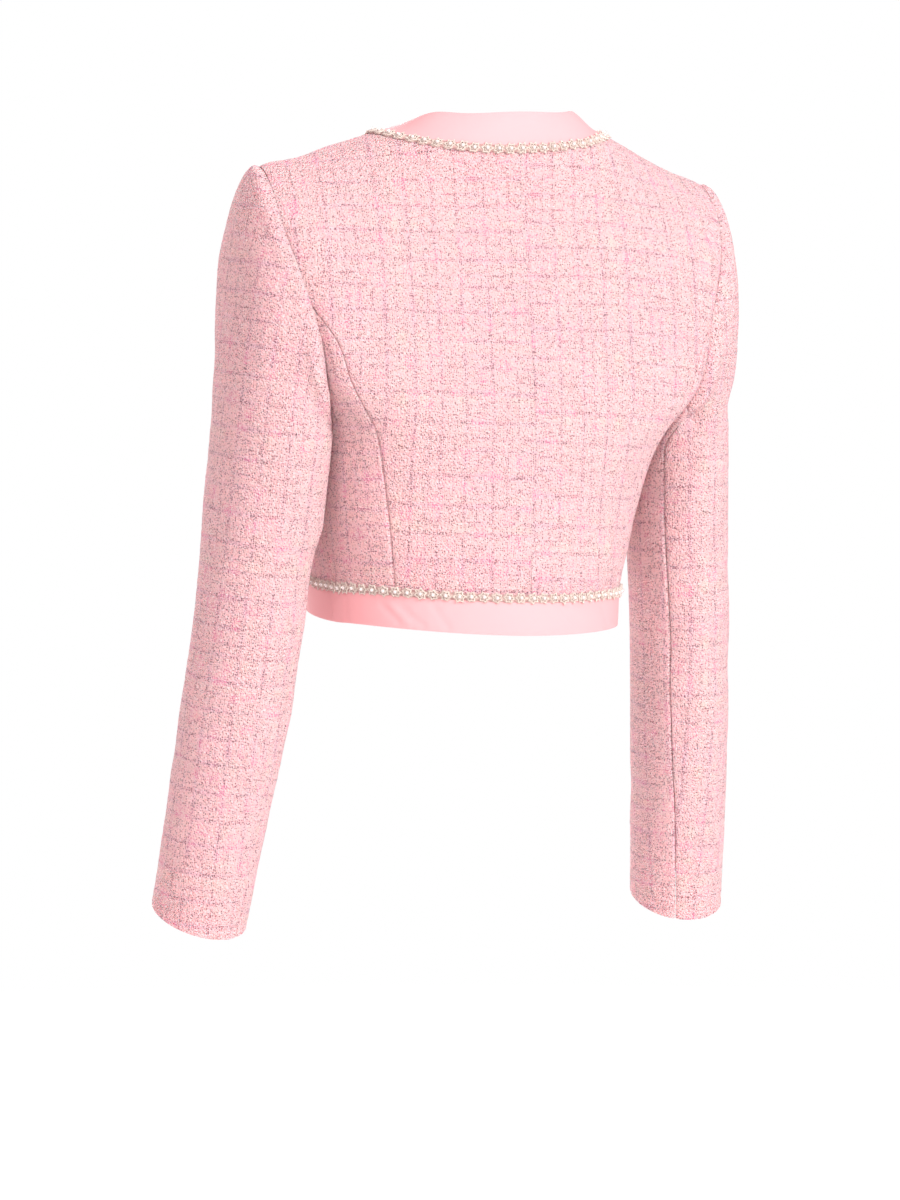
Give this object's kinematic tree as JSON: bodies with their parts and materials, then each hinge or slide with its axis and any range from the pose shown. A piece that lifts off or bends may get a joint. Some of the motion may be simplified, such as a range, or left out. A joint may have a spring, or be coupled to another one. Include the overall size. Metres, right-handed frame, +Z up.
{
  "type": "cropped tweed jacket",
  "caption": "Cropped tweed jacket with long two-piece sleeves, princess seams, smooth neck and hem bands and pearled crochet trim, in its worn, hollow form.",
  "frame": {"origin": "the middle of the shoulder line, between the shoulder tips and a little below the neck edge's height at the sides, where the wearer's shoulders hold the jacket up", "axes": "+Z up, -Y the jacket's front, +Y its back, +X the wearer's left"},
  "size_m": [0.5171, 0.2427, 0.6635],
  "materials": {
    "pink_tweed": "matte boucle tweed with a dotted check",
    "pink_band_cloth": "smooth woven cloth with a soft sheen",
    "cream_crochet": "matte crochet with small pearls"
  },
  "bodies": {
    "root": {"back_left": "pink_tweed", "side_back_left": "pink_tweed", "front_left": "pink_tweed", "sleeve_upper_left": "pink_tweed", "sleeve_under_left": "pink_tweed", "hem_band_front_left": "pink_band_cloth", "back_right": "pink_tweed", "side_back_right": "pink_tweed", "front_right": "pink_tweed", "sleeve_upper_right": "pink_tweed", "sleeve_under_right": "pink_tweed", "hem_band_front_right": "pink_band_cloth", "neck_band": "pink_band_cloth", "hem_band_back": "pink_band_cloth", "neck_trim": "cream_crochet", "hem_trim": "cream_crochet"}
  },
  "joints": []
}
